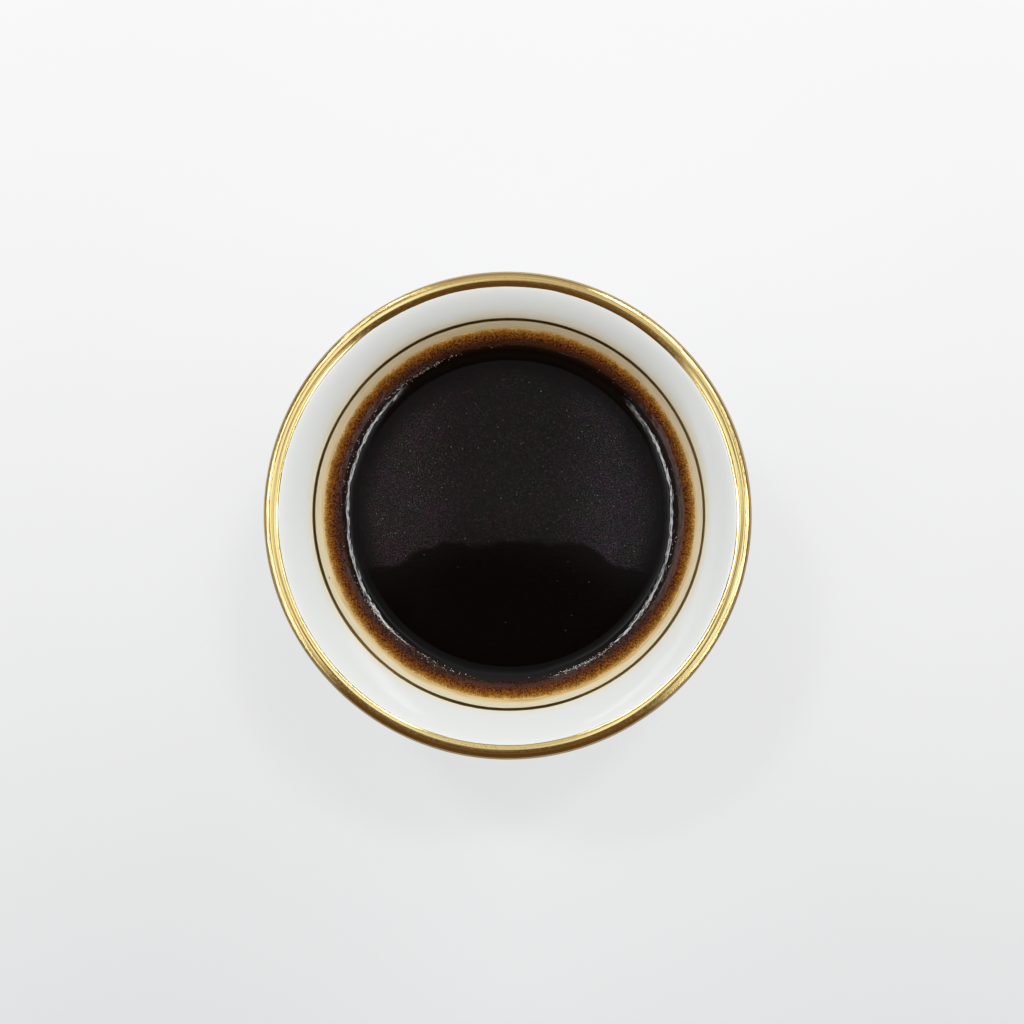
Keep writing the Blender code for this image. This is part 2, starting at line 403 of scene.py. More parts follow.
def upper_wall():
    """The wall inside from where it leaves the plain curve up to the gilding's inner edge."""
    start = float(wall_at_level(BLEND_LEVEL))
    low = wall(start)[0]
    top = crest()[0]
    flare = math.radians(CREST_FLARE)
    top_along = np.array((math.cos(flare), math.sin(flare)))
    handles = (low, low + BLEND_HANDLE * wall_direction(start), top - CREST_HANDLE * top_along, top)
    return cubic(handles, np.linspace(0, 1, 40))[0]


def foot_section():
    """From the outer wall's foot down the neck, under the ring and across the recess to the axis."""
    joint = np.interp(FOOT_RADIUS + FOOT_BLEND, FINE_OUTER[:, 0], FINE_T)
    top = outer_wall(joint)[0]
    neck = (
        top,
        top - FOOT_BLEND * wall_direction(joint),
        (FOOT_NECK_RADIUS, FOOT_NECK_LEVEL + FOOT_BLEND),
        (FOOT_NECK_RADIUS, FOOT_NECK_LEVEL),
    )
    ring_inner = FOOT_RADIUS - FOOT_RING_WIDTH
    edge = FOOT_EDGE
    parts = [
        cubic(neck, np.linspace(0, 1, 14)[1:])[0],
        arc((FOOT_RADIUS - edge, edge), edge, 0, -90, 7),
        arc((ring_inner + edge, edge), edge, 270, 180, 7),
        arc((ring_inner - edge, RECESS_LEVEL - edge), edge, 0, 90, 7),
        [(radius, RECESS_LEVEL) for radius in RECESS_RADII],
    ]
    return joint, np.vstack(parts)


def wall_middle_stops():
    """The radius of the wall's middle by height, as grey stops."""
    points = wall(wall_at_level(np.linspace(*MIDDLE_LEVELS, 13)), MIDDLE_DEPTH)
    return tuple((level, (radius / MIDDLE_SCALE,) * 3) for radius, level in points)


# Meshes

def mesh_object(name, vertices, faces, material):
    """A smooth mesh object from points in millimetres."""
    mesh = bpy.data.meshes.new(name)
    mesh.from_pydata(np.asarray(vertices) * MM, [], faces)
    mesh.materials.append(material)
    mesh.polygons.foreach_set("use_smooth", [True] * len(mesh.polygons))
    mesh.update()
    obj = bpy.data.objects.new(name, mesh)
    bpy.context.scene.collection.objects.link(obj)
    return obj


def angles_round(turns):
    """Equal steps of angle round the axis."""
    return np.arange(turns) * math.tau / turns


def points_round(r, z):
    """Points for radii and heights given row by row round the axis."""
    angles = angles_round(r.shape[1])
    return np.stack((r * np.cos(angles), r * np.sin(angles), z), axis=2).reshape(-1, 3)


def ring_faces(rows, turns, closed):
    """Quads between rows of vertices that go round the axis. Rows run down the outer side."""
    faces = []
    last = rows if closed else rows - 1
    for i in range(last):
        upper = i * turns
        lower = (i + 1) % rows * turns
        for j in range(turns):
            k = (j + 1) % turns
            faces.append((upper + j, lower + j, lower + k, upper + k))
    return faces


def ring_solid(name, r, z, material):
    """A ring whose last row joins its first."""
    return mesh_object(name, points_round(r, z), ring_faces(*r.shape, True), material)


def axis_solid(name, r, z, first_level, last_level, material):
    """A solid whose first and last rows close on the axis, at a level each."""
    rows, turns = r.shape
    vertices = points_round(r, z).tolist()
    first, last = len(vertices), len(vertices) + 1
    vertices += [(0.0, 0.0, first_level), (0.0, 0.0, last_level)]
    faces = ring_faces(rows, turns, False)
    last_row = (rows - 1) * turns
    for j in range(turns):
        k = (j + 1) % turns
        faces.append((first, j, k))
        faces.append((last, last_row + k, last_row + j))
    return mesh_object(name, vertices, faces, material)


def smooth_noise(rows, turns, size_rows, size_turns, seed):
    """Seamless random relief on a grid round the axis, with a mean of 0 and a spread of 1."""
    field = np.random.default_rng(seed).normal(size=(rows, turns))
    rows_away = np.minimum(np.arange(rows), rows - np.arange(rows))
    turns_away = np.minimum(np.arange(turns), turns - np.arange(turns))
    kernel = np.exp(-(rows_away[:, None] / size_rows) ** 2 - (turns_away[None, :] / size_turns) ** 2)
    field = np.fft.irfft2(np.fft.rfft2(field) * np.fft.rfft2(kernel), s=field.shape)
    return (field - field.mean()) / field.std()


def edge_noise(turns, size, seed):
    """The same along one line round the axis."""
    return smooth_noise(1, turns, 1, size, seed)[0]


# Shader nodes

class Nodes:
    """Makes nodes in one shader tree. Its methods return the new nodes' output sockets."""

    def __init__(self, tree):
        self.tree = tree

    def put(self, socket, value):
        """Links an output socket to a socket, or sets the socket's own value."""
        if isinstance(value, bpy.types.NodeSocket):
            self.tree.links.new(value, socket)
            return
        is_colour = hasattr(socket.default_value, "__len__") and len(socket.default_value) == 4
        socket.default_value = (*value, 1.0) if is_colour and len(value) == 3 else value

    def calc(self, operation, *values):
        node = self.tree.nodes.new("ShaderNodeMath")
        node.operation = operation
        for socket, value in zip(node.inputs, values):
            self.put(socket, value)
        return node.outputs[0]

    def add(self, total, *values):
        for value in values:
            total = self.calc("ADD", total, value)
        return total

    def times(self, product, *values):
        for value in values:
            product = self.calc("MULTIPLY", product, value)
        return product

    def minus(self, first, second):
        return self.calc("SUBTRACT", first, second)

    def size_of(self, value):
        return self.calc("ABSOLUTE", value)

    def remap(self, value, low, high, to_low=0.0, to_high=1.0, smooth=True):
        node = self.tree.nodes.new("ShaderNodeMapRange")
        node.interpolation_type = "SMOOTHSTEP" if smooth else "LINEAR"
        for socket, number in zip(node.inputs, (value, low, high, to_low, to_high)):
            self.put(socket, number)
        return node.outputs[0]

    def mix(self, share, first, second, blend="MIX"):
        node = self.tree.nodes.new("ShaderNodeMix")
        node.data_type = "RGBA"
        node.blend_type = blend
        self.put(node.inputs["Factor"], share)
        self.put(node.inputs[6], first)
        self.put(node.inputs[7], second)
        return node.outputs[2]

    def tinted(self, colour, tint):
        return self.mix(1.0, colour, tint, "MULTIPLY")

    def brightened(self, colour, light):
        return self.mix(1.0, colour, light, "ADD")

    def ramp(self, value, stops):
        """Colours along a value, from stops of (value, linear colour)."""
        node = self.tree.nodes.new("ShaderNodeValToRGB")
        low, high = stops[0][0], stops[-1][0]
        elements = node.color_ramp.elements
        while len(elements) < len(stops):
            elements.new(0.5)
        for element, (place, colour) in zip(elements, stops):
            element.position = (place - low) / (high - low)
            element.color = (*colour, 1.0)
        self.put(node.inputs[0], self.remap(value, low, high, smooth=False))
        return node.outputs[0]

    def noise_node(self, vector, scale, detail, roughness):
        node = self.tree.nodes.new("ShaderNodeTexNoise")
        self.put(node.inputs["Vector"], vector)
        node.inputs["Scale"].default_value = scale
        node.inputs["Detail"].default_value = detail
        node.inputs["Roughness"].default_value = roughness
        return node

    def noise(self, vector, scale, detail=3.0, roughness=0.5):
        return self.noise_node(vector, scale, detail, roughness).outputs[0]

    def coloured_noise(self, vector, scale):
        """A noise with its own shade in each channel, about 1 on average."""
        colour = self.noise_node(vector, scale, 2.0, 0.5).outputs["Color"]
        return self.tinted(colour, (2.0, 2.0, 2.0))

    def wander(self, vector, scale, detail, reach):
        """A noise about 0, with a given distance between its ends."""
        return self.times(self.minus(self.noise(vector, scale, detail), 0.5), reach)

    def cells(self, vector, scale):
        """The distance to the nearest of many scattered points."""
        node = self.tree.nodes.new("ShaderNodeTexVoronoi")
        self.put(node.inputs["Vector"], vector)
        node.inputs["Scale"].default_value = scale
        return node.outputs[0]

    def bump(self, height, depth):
        node = self.tree.nodes.new("ShaderNodeBump")
        self.put(node.inputs["Height"], height)
        node.inputs["Distance"].default_value = depth * MM
        node.inputs["Strength"].default_value = 1.0
        return node.outputs[0]

    def split(self, vector):
        node = self.tree.nodes.new("ShaderNodeSeparateXYZ")
        self.put(node.inputs[0], vector)
        return tuple(node.outputs)

    def joined(self, *parts):
        node = self.tree.nodes.new("ShaderNodeCombineXYZ")
        for socket, part in zip(node.inputs, parts):
            self.put(socket, part)
        return node.outputs[0]

    def facing(self, low, high):
        """0 where a surface faces the viewer and 1 at its edge."""
        node = self.tree.nodes.new("ShaderNodeLayerWeight")
        node.inputs["Blend"].default_value = 0.35
        return self.remap(node.outputs["Facing"], low, high)


class Surface(Nodes):
    """A material's nodes, round its one main shader."""

    def __init__(self, name, roughness, metallic=0.0, ior=1.5):
        self.material = bpy.data.materials.new(name)
        self.material.use_nodes = True
        super().__init__(self.material.node_tree)
        self.inputs = self.tree.nodes["Principled BSDF"].inputs
        self.inputs["Roughness"].default_value = roughness
        self.inputs["Metallic"].default_value = metallic
        self.inputs["IOR"].default_value = ior

    def find_place(self):
        """Finds the point in millimetres, its distance from the axis and its angle round it."""
        coordinates = self.tree.nodes.new("ShaderNodeTexCoord")
        scaled = self.tree.nodes.new("ShaderNodeVectorMath")
        scaled.operation = "SCALE"
        scaled.inputs["Scale"].default_value = 1 / MM
        self.put(scaled.inputs[0], coordinates.outputs["Object"])
        self.point = scaled.outputs[0]
        self.x, self.y, self.height = self.split(self.point)
        squares = self.add(self.calc("POWER", self.x, 2.0), self.calc("POWER", self.y, 2.0))
        self.radius = self.calc("SQRT", squares)
        self.angle = self.calc("ARCTAN2", self.y, self.x)

    def streaks(self, across, across_scale, around_scale):
        """A noise drawn out round the cup, from how far a point lies across."""
        around = self.joined(
            self.times(across, across_scale),
            self.times(self.calc("COSINE", self.angle), around_scale),
            self.times(self.calc("SINE", self.angle), around_scale),
        )
        return self.noise(around, 1.0, 2.0)

    def finished(self, values):
        """The material, with these values in the sockets of its main shader."""
        for name, value in values.items():
            self.put(self.inputs[name], value)
        return self.material


# Materials

def porcelain_material():
    """Glazed white porcelain: bare under the foot, and stained by coffee just above the drink."""
    look = Surface("porcelain", 0.1, ior=1.52)
    look.find_place()
    point, height, angle = look.point, look.height, look.angle
    # Round the cup the stain's colour shifts: higher up it is darker on the far side and lighter on the
    # near side, and at its foot the reverse
    leaning = look.times(look.calc("COSINE", look.minus(angle, FILM_DARKER_SIDE)), -0.55)
    paler = look.times(look.calc("SINE", angle), look.remap(height, *FILM_FOOT_LEVELS, 0.40, 0.0))
    uneven = look.add(look.wander(point, 0.22, 2.0, 1.0), leaning, -0.05)
    spread = look.times(uneven, look.remap(height, *FILM_SPREAD_LEVELS))
    streaks = look.remap(look.streaks(height, 5.0, 5.0), *NOISE_MIDDLE, -0.45, 0.45)
    film = look.ramp(look.add(height, paler, spread, streaks), FILM_STOPS)
    # It is on the inner face only, which lies within the wall's middle
    middle = look.times(look.ramp(height, wall_middle_stops()), MIDDLE_SCALE)
    inside = look.remap(look.minus(look.radius, middle), -0.2, 0.2, 1.0, 0.0)
    inner_face = look.times(inside, look.remap(height, *FILM_START_LEVELS))
    cloud = look.remap(look.noise(point, 0.12, 2.0), *NOISE_RANGE, 0.975, 1.0)
    glaze = look.tinted(PORCELAIN_COLOUR, cloud)
    bare_height = look.add(height, look.times(look.noise(point, 1.5), 0.25))
    bare = look.remap(bare_height, *BARE_LEVELS, 1.0, 0.0)
    return look.finished({
        "Base Color": look.mix(bare, look.mix(inner_face, glaze, film), BARE_CLAY_COLOUR),
        "Roughness": look.remap(bare, 0.0, 1.0, 0.1, 0.7),
        "Normal": look.bump(look.noise(point, 0.35, 2.0), PORCELAIN_RELIEF),
    })


def gold_material():
    """Fired gilding: gold with long fine ridges from the brush, and a painted darker reflection at its
    lower outer edge.
    """
    look = Surface("gold", 0.1, metallic=1.0)
    look.find_place()
    point, radius, height = look.point, look.radius, look.height
    across = look.minus(radius, look.times(height, 0.7))
    long_strokes = look.streaks(across, 3.6, 0.7)
    short_strokes = look.streaks(across, 9.0, 1.5)
    colour = look.mix(look.remap(long_strokes, *NOISE_MIDDLE), *GOLD_COLOURS)
    specks = look.remap(look.noise(point, 5.0, 2.0), 0.62, 0.72)
    colour = look.mix(specks, colour, GOLD_SPECK_COLOUR)
    # Painted darker reflection: the lower outer edge is mixed towards a dull brown
    dark_reflection = look.times(look.remap(radius, *DARK_REFLECTION_RADII), look.remap(height, *DARK_REFLECTION_LEVELS))
    colour = look.mix(dark_reflection, colour, DARK_REFLECTION_GOLD_COLOUR)
    # The line on the wall is thinner and browner
    line = look.remap(height, *LINE_TOP_LEVELS)
    polish = look.remap(look.noise(point, 2.5, 3.0), *NOISE_RANGE, 0.07, 0.16)
    ridges = look.add(look.times(long_strokes, 3.0), look.times(short_strokes, 0.3))
    grain = look.times(look.noise(point, 7.0, 3.0, 0.6), 0.03)
    return look.finished({
        "Base Color": look.mix(line, colour, LINE_COLOUR),
        "Roughness": look.add(polish, look.times(line, 0.25)),
        "Normal": look.bump(look.add(grain, ridges), GOLD_RELIEF),
    })


def coffee_material():
    """Black coffee: nearly black, redder where it thins towards the wall, with a film of oil that also
    carries a painted reflection.
    """
    look = Surface("coffee", 0.03, ior=1.34)
    look.find_place()
    point, radius = look.point, look.radius
    from_middle = look.size_of(look.x)
    # The oil and its painted reflection lie in faint clouds with a fine grain, and are brighter towards
    # both sides
    clouds = look.remap(look.noise(point, 0.30, 3.0, 0.55), 0.32, 0.66)
    tint = look.tinted(look.mix(clouds, *OIL_AND_SHEEN_COLOURS), look.ramp(look.x, OIL_AND_SHEEN_TINTS))
    tint = look.tinted(tint, look.coloured_noise(point, 3.0))
    grain = look.remap(look.noise(point, 5.5, 3.0, 0.7), 0.37, 0.65, 0.15, 1.9)
    sides = look.remap(from_middle, 6.0, 15.0, 0.55, 1.25)
    oil_and_sheen = look.tinted(tint, look.times(grain, sides))
    # Tiny bubbles in it, as pale dots of painted glint, stronger towards both sides
    bubbles = look.remap(look.cells(point, 3.4), 0.0, 0.22, 1.0, 0.0)
    lively = look.remap(look.noise(point, 0.9, 2.0), 0.42, 0.62)
    oil_and_sheen = look.brightened(oil_and_sheen, look.times(look.times(bubbles, lively), look.times(sides, 0.10)))
    # Its patch, oil with a painted reflection of the lit room, ends short of the turned-up edge, and on
    # the near side, which mirrors the unlit side, in a line that droops outwards
    wander = look.wander(point, 0.25, 2.0, 5.0)
    thinning = look.remap(look.add(radius, look.times(wander, 0.4)), *OIL_AND_SHEEN_THINS_RADII, 1.0, 0.10)
    droop = look.remap(from_middle, 9.0, 17.4, 0.0, 4.1, smooth=False)
    above_edge = look.add(look.y, droop, look.times(wander, 0.6))
    oil_and_sheen_patch = look.times(thinning, look.remap(above_edge, *OIL_AND_SHEEN_NEAR_EDGE, 0.08, 1.0))
    oil_and_sheen_patch = look.times(oil_and_sheen_patch, look.remap(radius, *OIL_AND_SHEEN_ENDS_RADII, 1.0, 0.0))
    return look.finished({
        # The oil patch's colour is partly a painted reflection of the lit room over the far part of the
        # drink
        "Base Color": look.brightened(look.ramp(radius, COFFEE_STOPS), look.mix(oil_and_sheen_patch, BLACK, oil_and_sheen)),
        "Roughness": look.remap(look.noise(point, 0.4, 3.0), *NOISE_RANGE, 0.01, 0.025),
        "Normal": look.bump(look.noise(point, 4.5, 2.0, 0.6), COFFEE_RELIEF),
    })


def foam_material():
    """Wet brown foam: a fine grain of bubbles, stronger towards its dark inner edge."""
    look = Surface("foam", 0.2, ior=1.34)
    look.find_place()
    look.inputs["Specular IOR Level"].default_value = 0.14
    point, radius = look.point, look.radius
    colour = look.ramp(look.add(radius, look.wander(point, 0.9, 3.0, 0.7)), FOAM_STOPS)
    dots = look.remap(look.noise(point, 5.2, 2.0, 0.6), 0.41, 0.59)
    strength = look.times(look.remap(radius, 24.4, 25.5, 0.80, 0.42), 2.0)
    shade = look.add(1.0, look.times(look.minus(dots, 0.5), strength))
    return look.finished({
        "Base Color": look.tinted(colour, shade),
        "Normal": look.bump(look.cells(point, 5.0), FOAM_RELIEF),
    })


def bubble_material():
    """Clear bubbles on coffee: a dark, glossy skin, with a painted highlight that makes it browner and
    paler round the edge.
    """
    look = Surface("bubble", 0.03, ior=1.36)
    return look.finished({"Base Color": look.mix(look.facing(0.45, 0.85), *BUBBLE_AND_RIM_HIGHLIGHT_COLOURS)})


def glint_bubble_material():
    """Small bubbles whose whitish colour is a painted glint, paler in the middle and darker round the
    edge.
    """
    look = Surface("glint_bubble", 0.08, ior=1.36)
    return look.finished({"Base Color": look.mix(look.facing(0.2, 0.7), *GLINT_BUBBLE_COLOURS)})


def speck_highlight_material():
    """Tiny bubbles too small to show a highlight, painted pale in its place."""
    return Surface("speck", 0.25, ior=1.34).finished({"Base Color": SPECK_HIGHLIGHT_COLOUR})


def residue_material():
    """Dried coffee."""
    look = Surface("residue", 0.3)
    look.find_place()
    tone = look.remap(look.noise(look.point, 3.0, 2.0), *NOISE_MIDDLE)
    return look.finished({"Base Color": look.mix(tone, *RESIDUE_COLOURS)})


def table_material():
    """A white table that glows with painted light, and is a little duller on the near side with painted
    shade.
    """
    look = Surface("table", 0.5)
    look.find_place()
    # Painted shade and glow: the table darkens and glows less towards its near side
    share = look.remap(look.y, *TABLE_REACH, smooth=False)
    tone = look.mix(look.remap(look.noise(look.point, 0.02, 3.0), *NOISE_RANGE), *TABLE_FAR_COLOURS)
    look.inputs["Emission Strength"].default_value = 1.0
    look.inputs["Specular IOR Level"].default_value = 0.2
    return look.finished({
        "Base Color": look.mix(share, TABLE_NEAR_SHADE_COLOUR, tone),
        "Emission Color": look.mix(share, *TABLE_LIGHT),
    })


# The cup and its gilding

def make_cup(material):
    """The porcelain cup, turned from its whole section."""
    joint, foot = foot_section()
    section = np.vstack([
        wall(np.linspace(0.0, wall_at_level(BLEND_LEVEL), 80, endpoint=False)),
        upper_wall()[:-1],
        offset(crest(), GILT_FILM),
        outer_wall(np.linspace(0.995, joint, 80)),
        foot,
    ])
    turns = 288
    r = np.repeat(section[1:-1, :1], turns, axis=1)
    z = np.repeat(section[1:-1, 1:], turns, axis=1)
    cup = axis_solid("cup_porcelain", r, z, section[0, 1], section[-1, 1], material)
    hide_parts("cup")
    return cup


def painted_band(name, path, width_shares, film, material, seed, wobble):
    """A thin painted band along a path of section points, with slightly uneven edges.

    path gives points (r, z) for shares from 0 to 1 at a height above the ground surface, and
    wobble gives the size and reach of both edges' waves, the reach as a share too.
    """
    first, second = [
        edge_noise(GILT_TURNS, size, seed + i) * reach for i, (size, reach) in enumerate(wobble)
    ]
    start = first
    end = 1 + second
    shares = start[None, :] + (end - start)[None, :] * width_shares[:, None]
    profile = np.minimum(1.0, np.minimum(width_shares, 1 - width_shares) / GILT_EDGE_SHARE)
    top = path(shares, film * np.sqrt(np.clip(profile, 0, 1))[:, None])
    below = path(shares, np.full((len(width_shares), 1), -film))
    r, z = (np.vstack([upper, lower[::-1]]) for upper, lower in zip(top, below))
    return ring_solid(name, r, z, material)


def make_gilt_rim(material):
    """The gilding over the lip."""
    outer_t = np.interp(outer_wall(1.0)[0, 1] - GILT_OUTSIDE, FINE_OUTER[:, 1], FINE_T)
    ground = np.vstack([
        offset(crest(), GILT_FILM),
        outer_wall(np.linspace(1.0, outer_t, 22)[1:]),
    ])
    steps = np.r_[0, np.cumsum(np.linalg.norm(np.diff(ground, axis=0), axis=1))]
    length = steps[-1]
    along = np.gradient(ground, steps, axis=0)
    normals = np.column_stack((-along[:, 1], along[:, 0]))
    normals /= np.linalg.norm(normals, axis=1)[:, None]

    def path(shares, height):
        s = shares * length
        r = np.interp(s, steps, ground[:, 0]) + height * np.interp(s, steps, normals[:, 0])
        z = np.interp(s, steps, ground[:, 1]) + height * np.interp(s, steps, normals[:, 1])
        return r, z

    shares = np.linspace(0.0, 1.0, 66)
    wobble = [(size, reach / length) for size, reach in LIP_WOBBLE]
    rim = painted_band("gilt_lip", path, shares, GILT_FILM, material, LIP_SEED, wobble)
    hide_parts("gilt_rim")
    return rim


def make_gilt_line(material):
    """The thin line painted round the wall inside."""
    middle = float(wall_at_level(LINE_LEVEL))
    point = wall(middle)[0]
    along = wall_direction(middle)
    normal = np.array((-along[1], along[0]))

    def path(shares, height):
        s = (shares - 0.5) * LINE_WIDTH
        return tuple(point[i] + s * along[i] + height * normal[i] for i in range(2))

    shares = np.linspace(0, 1, 9)
    line = painted_band("gilt_line", path, shares, LINE_FILM, material, LINE_SEED, LINE_WOBBLE)
    return line


# The drink and its foam

SURFACE_RADII = np.linspace(0.0, 26.0, 2601)


def surface_levels():
    """The drink's height at each of the surface radii, from its slopes."""
    between = (SURFACE_RADII[1:] + SURFACE_RADII[:-1]) / 2
    slopes = np.radians(np.interp(between, *zip(*SURFACE_SLOPES)))
    return COFFEE_LEVEL + np.r_[0, np.cumsum(np.tan(slopes) * np.diff(SURFACE_RADII))]


SURFACE_LEVELS = surface_levels()


def surface_level(radius):
    """The drink's height at a distance from the axis."""
    return np.interp(radius, SURFACE_RADII, SURFACE_LEVELS)


def edge_waves(angle):
    """The long waves of the drink's edge, as a shift outwards at an angle round the cup."""
    return sum(size * np.sin(count * angle + phase) for count, phase, size in EDGE_WAVES)


def foam_wander(angle):
    """How far outwards the foam's inner edge lies from its mean radius, at an angle round the cup."""
    shift = edge_waves(angle)
    for middle, half_width, size in FOAM_BULGES:
        away = (np.mod(angle - middle + math.pi, math.tau) - math.pi) / half_width
        shift = shift - size * np.exp(-away * away)
    return shift


def meniscus_shift(angles):
    """How far out the turned-up edge lies at each angle, with its small irregular steps."""
    count = len(angles)
    coarse = edge_noise(count, count / 90, DRINK_SEED)
    fine = edge_noise(count, count / 260, DRINK_SEED + 1)
    lean = -0.04 * np.cos(angles) - 0.05 * np.sin(angles)
    return 0.5 * edge_waves(angles) + lean + 0.03 * coarse + 0.012 * fine


def make_coffee(material):
    """The drink: its surface with the turned-up edge, and its body against the wall."""
    # The rows are closest where the surface turns up
    radii = np.r_[
        np.linspace(1.5, 20.5, 9),
        np.linspace(21.2, 22.2, 12),
        np.linspace(22.24, 23.44, 34),
        (23.50, 23.54, 23.56, 23.60),
        np.linspace(23.66, 24.4, 12),
        np.linspace(24.6, COFFEE_CONTACT, 6),
    ]
    shift_share = np.interp(radii, (21.3, 22.4, 23.4, 24.6), (0.0, 1.0, 1.0, 0.0))
    r = radii[:, None] + shift_share[:, None] * meniscus_shift(angles_round(COFFEE_TURNS))[None, :]
    z = np.repeat(surface_level(radii)[:, None], COFFEE_TURNS, axis=1)
    lump_size = np.interp(radii, (22.2, 22.35, 23.54, 23.60, 24.2), (0.0, 0.0012, 0.0012, 0.003, 0.003))
    z += lump_size[:, None] * smooth_noise(len(radii), COFFEE_TURNS, 1.6, 2.2, DRINK_SEED + 2)
    # Under the foam it dips out of sight
    z -= np.interp(radii, (24.40, 24.60), (0.0, 0.12))[:, None]
    top_t = wall_at_level(z[-1, 0] - 0.3)
    bottom_t = wall_at_level(FLOOR_LEVEL + 0.02)
    under = wall(np.linspace(top_t, bottom_t, 14), 0.05)
    r = np.vstack([r, np.repeat(under[:, :1], COFFEE_TURNS, axis=1)])
    z = np.vstack([z, np.repeat(under[:, 1:], COFFEE_TURNS, axis=1)])
    coffee = axis_solid("coffee_drink", r, z, COFFEE_LEVEL, under[-1, 1], material)
    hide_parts("coffee")
    return coffee


def make_foam(material):
    """The ring of foam, as fine relief on the drink's turned-up edge."""
    turns, rows = FOAM_TURNS, FOAM_ROWS
    shares = np.linspace(0.0, 1.0, rows)
    wander = foam_wander(angles_round(turns))
    ragged = edge_noise(turns, 5, FOAM_SEED) * 0.07 + edge_noise(turns, 2, FOAM_SEED + 1) * 0.04
    inner = FOAM_INNER_RADIUS + wander + ragged
    r = inner[None, :] + (FOAM_OUTER_RADIUS - inner)[None, :] * shares[:, None]
    fade = wander[None, :] * (1 - shares[:, None])
    fine_grain = smooth_noise(rows, turns, 1.1, 1.1, FOAM_SEED + 2) * 0.022
    coarse_grain = smooth_noise(rows, turns, 2.5, 3.0, FOAM_SEED + 3) * 0.02
    # The inner edge lies under a thin skin of coffee
    past_skin = r - wander[None, :] - 0.6 * ragged[None, :] - FOAM_SURFACING_RADIUS
    rise = np.clip(past_skin / 0.12, -0.3, 1.0)
    z = surface_level(r - fade) + 0.004 + rise * (0.04 + (fine_grain + coarse_grain))
    z[0] = surface_level(inner - wander) - 0.03
    ends = [-1, 0]
    r = np.vstack([r, r[ends]])
    z = np.vstack([z, z[ends] - FOAM_DEPTH])
    foam = ring_solid("foam_ring_fine", r, z, material)
    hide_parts("foam_ring")
    return foam


# Bubbles and specks

def domes(name, places, material, rings=4, sides=10):
    """One mesh of domes: places are (point, normal, size, flatness)."""
    sunk_share = 0.35
    tilts = [math.acos(1 - (1 + sunk_share) * i / rings) for i in range(1, rings + 1)]
    vertices, faces = [], []
    for point, normal, size, flatness in places:
        turn = Vector((0, 0, 1)).rotation_difference(Vector(normal)).to_matrix()
        start = len(vertices)
        vertices.append(Vector(point) + turn @ Vector((0, 0, size * flatness)))
        for tilt in tilts:
            for j in range(sides):
                a = math.tau * j / sides
                reach = math.sin(tilt)
                local = Vector((reach * math.cos(a), reach * math.sin(a), math.cos(tilt) * flatness))
                vertices.append(Vector(point) + turn @ (local * size))
        for j in range(sides):
            k = (j + 1) % sides
            faces.append((start, start + 1 + j, start + 1 + k))
            for i in range(rings - 1):
                a, b = start + 1 + i * sides, start + 1 + (i + 1) * sides
                faces.append((a + j, b + j, b + k, a + k))
        faces.append(tuple(start + 1 + (rings - 1) * sides + j for j in reversed(range(sides))))
    return mesh_object(name, vertices, faces, material)


def surface_place(angle, radius, wander=0.0):
    """A point on the drink, where its edge is shifted outwards by wander."""
    return (radius * math.cos(angle), radius * math.sin(angle), float(surface_level(radius - wander)))


def make_bubbles(clear_look, glint_look):
    """Bubbles along the foam's inner edge: more at its bulges, ones painted pale as glints in arcs, and
    some all round.
    """
    draw = random.Random(BUBBLE_SEED)
    clear, pale = [], []

    def add(places, angle, radius, size):
        wander = 0.4 * float(foam_wander(np.array(angle)))
        point = surface_place(angle, radius + wander, wander)
        places.append((point, (0, 0, 1), size, 0.8))

    for middle, half_width, _ in FOAM_BULGES:
        for _ in range(BUBBLES_PER_BULGE):
            angle = middle + draw.gauss(0, 0.6) * half_width
            radius = BUBBLE_RADIUS + draw.gauss(0, 0.25)
            add(clear, angle, radius, 0.04 + 0.12 * draw.random() ** 2.4)
    for middle, spread, count in GLINT_ARCS:
        for _ in range(count):
            angle = math.radians(middle + draw.gauss(0, spread))
            radius = GLINT_RADIUS + draw.gauss(0, 0.15)
            add(pale, angle, radius, 0.030 + 0.035 * draw.random() ** 2)
    for i in range(FINE_BUBBLES):
        angle = math.tau * (i + draw.random()) / FINE_BUBBLES
        radius = FINE_BUBBLE_RADIUS + abs(draw.gauss(0, 0.35))
        add(clear, angle, radius, 0.04 + 0.08 * draw.random() ** 2)
    pieces = [domes("foam_bubbles", clear, clear_look), domes("foam_glints", pale, glint_look)]
    return pieces


def make_specks(material):
    """Tiny bubbles that float on the drink, painted pale as their highlights, most of them towards its
    left and right.
    """
    draw = random.Random(SPECK_SEED)
    places = []
    while len(places) < SPECKS:
        angle = draw.uniform(0, math.tau)
        radius = SPECK_REACH * math.sqrt(draw.random())
        aside = abs(math.cos(angle)) * radius / SPECK_REACH
        farther = 1 / (1 + math.exp(-(math.sin(angle) * radius + 4.5) / 1.2))
        if draw.random() > (0.12 + 0.88 * aside * aside) * (0.06 + 0.94 * farther):
            continue
        size = 0.03 + 0.03 * draw.random() ** 3
        places.append((surface_place(angle, radius), (0, 0, 1), size, 0.7))
    specks = domes("coffee_specks", places, material, rings=3, sides=6)
    return specks


def wall_place(angle, level):
    """A point on the wall inside, and the way that the wall faces there."""
    t = float(wall_at_level(level))
    r, z = wall(t)[0]
    along = wall_direction(t)
    outward = Vector((math.cos(angle), math.sin(angle), 0))
    point = outward * r + Vector((0, 0, z))
    normal = outward * -along[1] + Vector((0, 0, along[0]))
    return point, normal


